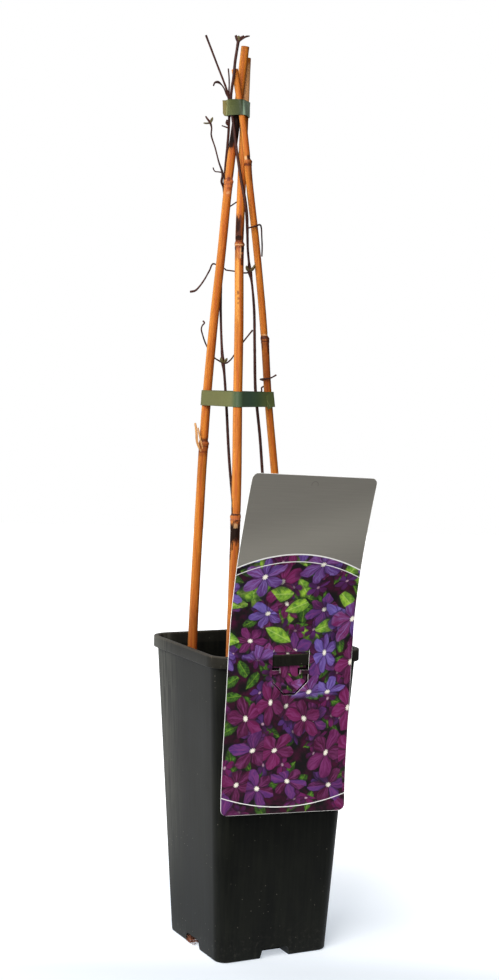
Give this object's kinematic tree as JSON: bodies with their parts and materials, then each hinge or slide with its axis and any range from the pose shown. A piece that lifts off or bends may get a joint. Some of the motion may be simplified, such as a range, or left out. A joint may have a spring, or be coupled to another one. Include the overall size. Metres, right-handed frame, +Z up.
{
  "type": "potted climbing plant",
  "caption": "Dormant clematis stems tied to a wigwam of bamboo canes in a tall square plastic pot of compost, with a large curved picture label hung on the rim.",
  "frame": {"origin": "centre of the pot's base, on the surface that it stands on", "axes": "+Z up along the pot, -Y towards the side where the label hangs"},
  "size_m": [0.1162, 0.1356, 0.636],
  "materials": {
    "pot": "matt dark grey, faint upright streaks, a little dust near the foot",
    "soil": "coarse dark brown compost",
    "bamboo": "smooth orange tan bamboo with dark marks at the joints",
    "stem": "dark brown, dry, fine lengthwise ridges",
    "tape": "satin olive green",
    "card": "printed sheet, low gloss, white edges and back"
  },
  "bodies": {
    "root": {"pot": "pot", "soil": "soil", "cane_left": "bamboo", "cane_middle": "bamboo", "cane_right": "bamboo", "stem_left": "stem", "stem_right": "stem", "tie_lower": "tape", "tie_upper": "tape", "label": "card"}
  },
  "joints": []
}
